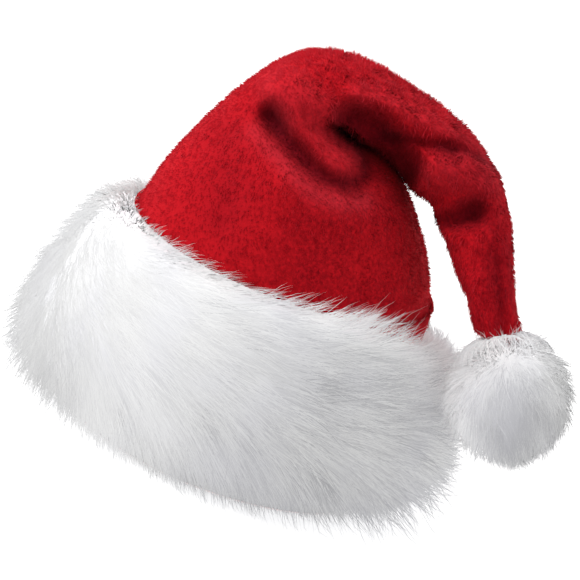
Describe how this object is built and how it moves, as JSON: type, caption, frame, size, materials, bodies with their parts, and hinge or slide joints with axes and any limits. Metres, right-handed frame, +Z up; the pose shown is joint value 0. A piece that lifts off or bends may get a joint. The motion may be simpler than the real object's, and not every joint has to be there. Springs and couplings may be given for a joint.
{
  "type": "santa hat",
  "caption": "Soft red plush hat with a deep white fur band and a folded tail that ends in a fur pompom, standing on its band.",
  "frame": {"origin": "middle of the head opening, in the plane of the band's flat underside", "axes": "+Z up the crown, +X towards the side the tail and pompom fall to, -Y towards the folded front"},
  "size_m": [0.3644, 0.3078, 0.268],
  "materials": {
    "red_plush": "short crushed plush pile, deep red, matte with a soft sheen along the folds",
    "white_fur": "long white faux fur, matte, swept round the band in overlapping locks",
    "white_pile": "fine white faux fur, matte, swept down and out from the end of the tail"
  },
  "bodies": {
    "root": {"crown": "red_plush", "fur_band": "white_fur", "pompom": "white_pile"}
  },
  "joints": []
}
